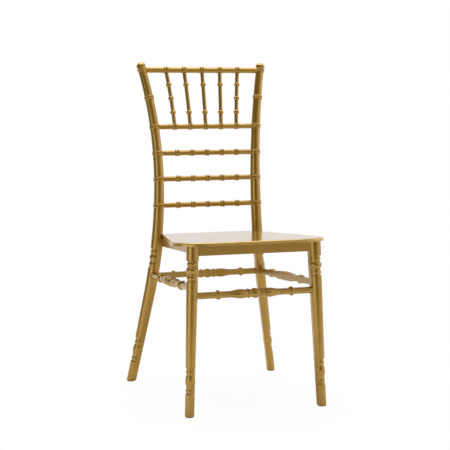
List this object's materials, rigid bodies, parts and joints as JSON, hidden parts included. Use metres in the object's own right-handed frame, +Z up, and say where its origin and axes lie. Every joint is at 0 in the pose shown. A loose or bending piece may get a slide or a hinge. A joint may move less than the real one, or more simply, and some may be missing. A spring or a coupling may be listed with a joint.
{
  "type": "chiavari chair",
  "caption": "Upright side chair with turned legs and stretchers, a bowed ladder back with a spindle crest, domed finials and a flat round-cornered seat panel.",
  "frame": {"origin": "on the floor, in the middle of the chair's overall width and depth", "axes": "+Z up; the sitter faces -Y; +X is on the right of someone who looks at the chair's front"},
  "size_m": [0.4614, 0.4849, 0.92],
  "materials": {
    "gold_resin": "gold pearl, satin gloss",
    "seat_resin": "gold pearl, smooth",
    "block_resin": "plain moulded",
    "glide_plastic": "plain moulded",
    "screw_steel": "zinc plated"
  },
  "bodies": {
    "root": {"seat_panel": "seat_resin", "front_apron": "gold_resin", "rear_apron": "gold_resin", "left_apron": "gold_resin", "right_apron": "gold_resin", "front_leg_left": "gold_resin", "front_leg_right": "gold_resin", "rear_post_left": "gold_resin", "rear_post_right": "gold_resin", "finial_left": "gold_resin", "finial_right": "gold_resin", "front_stretcher": "gold_resin", "rear_stretcher": "gold_resin", "left_stretcher": "gold_resin", "right_stretcher": "gold_resin", "top_rail": "gold_resin", "spindle_rail": "gold_resin", "upper_ladder_rail": "gold_resin", "middle_ladder_rail": "gold_resin", "lower_ladder_rail": "gold_resin", "spindle_far_left": "gold_resin", "spindle_left": "gold_resin", "spindle_middle": "gold_resin", "spindle_right": "gold_resin", "spindle_far_right": "gold_resin", "front_left_block": "block_resin", "front_right_block": "block_resin", "rear_left_block": "block_resin", "rear_right_block": "block_resin", "front_left_glide": "glide_plastic", "front_right_glide": "glide_plastic", "rear_left_glide": "glide_plastic", "rear_right_glide": "glide_plastic", "seat_screws": "screw_steel", "corner_bolts": "screw_steel"}
  },
  "joints": []
}
